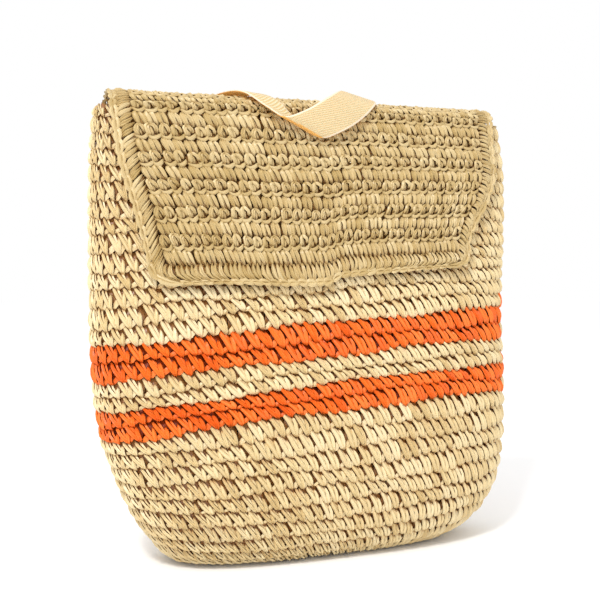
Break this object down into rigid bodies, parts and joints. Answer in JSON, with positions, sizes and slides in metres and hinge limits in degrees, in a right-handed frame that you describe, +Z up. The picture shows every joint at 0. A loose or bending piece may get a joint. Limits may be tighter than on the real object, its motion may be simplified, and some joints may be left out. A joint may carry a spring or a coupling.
{
  "type": "woven straw backpack",
  "caption": "Crocheted paper-straw backpack with orange stripes, a straw flap over the mouth and cotton webbing straps.",
  "frame": {"origin": "middle of the flat base, on the surface that the bag stands on", "axes": "+Z up, the front with the flap faces -Y, +X to the right of someone looking at the front"},
  "size_m": [0.3411, 0.1535, 0.3474],
  "materials": {
    "straw": "natural paper straw, dry, crocheted",
    "orange_straw": "dyed paper straw, crocheted",
    "flap_straw": "natural paper straw, crocheted in turned rows",
    "cotton_webbing": "woven cream cotton tape"
  },
  "bodies": {
    "root": {"body_lower": "straw", "stripe_lower": "orange_straw", "band_middle": "straw", "stripe_upper": "orange_straw", "body_upper": "straw", "flap": "flap_straw", "flap_edging": "flap_straw", "grab_loop": "cotton_webbing", "strap_left": "cotton_webbing", "strap_right": "cotton_webbing"}
  },
  "joints": []
}
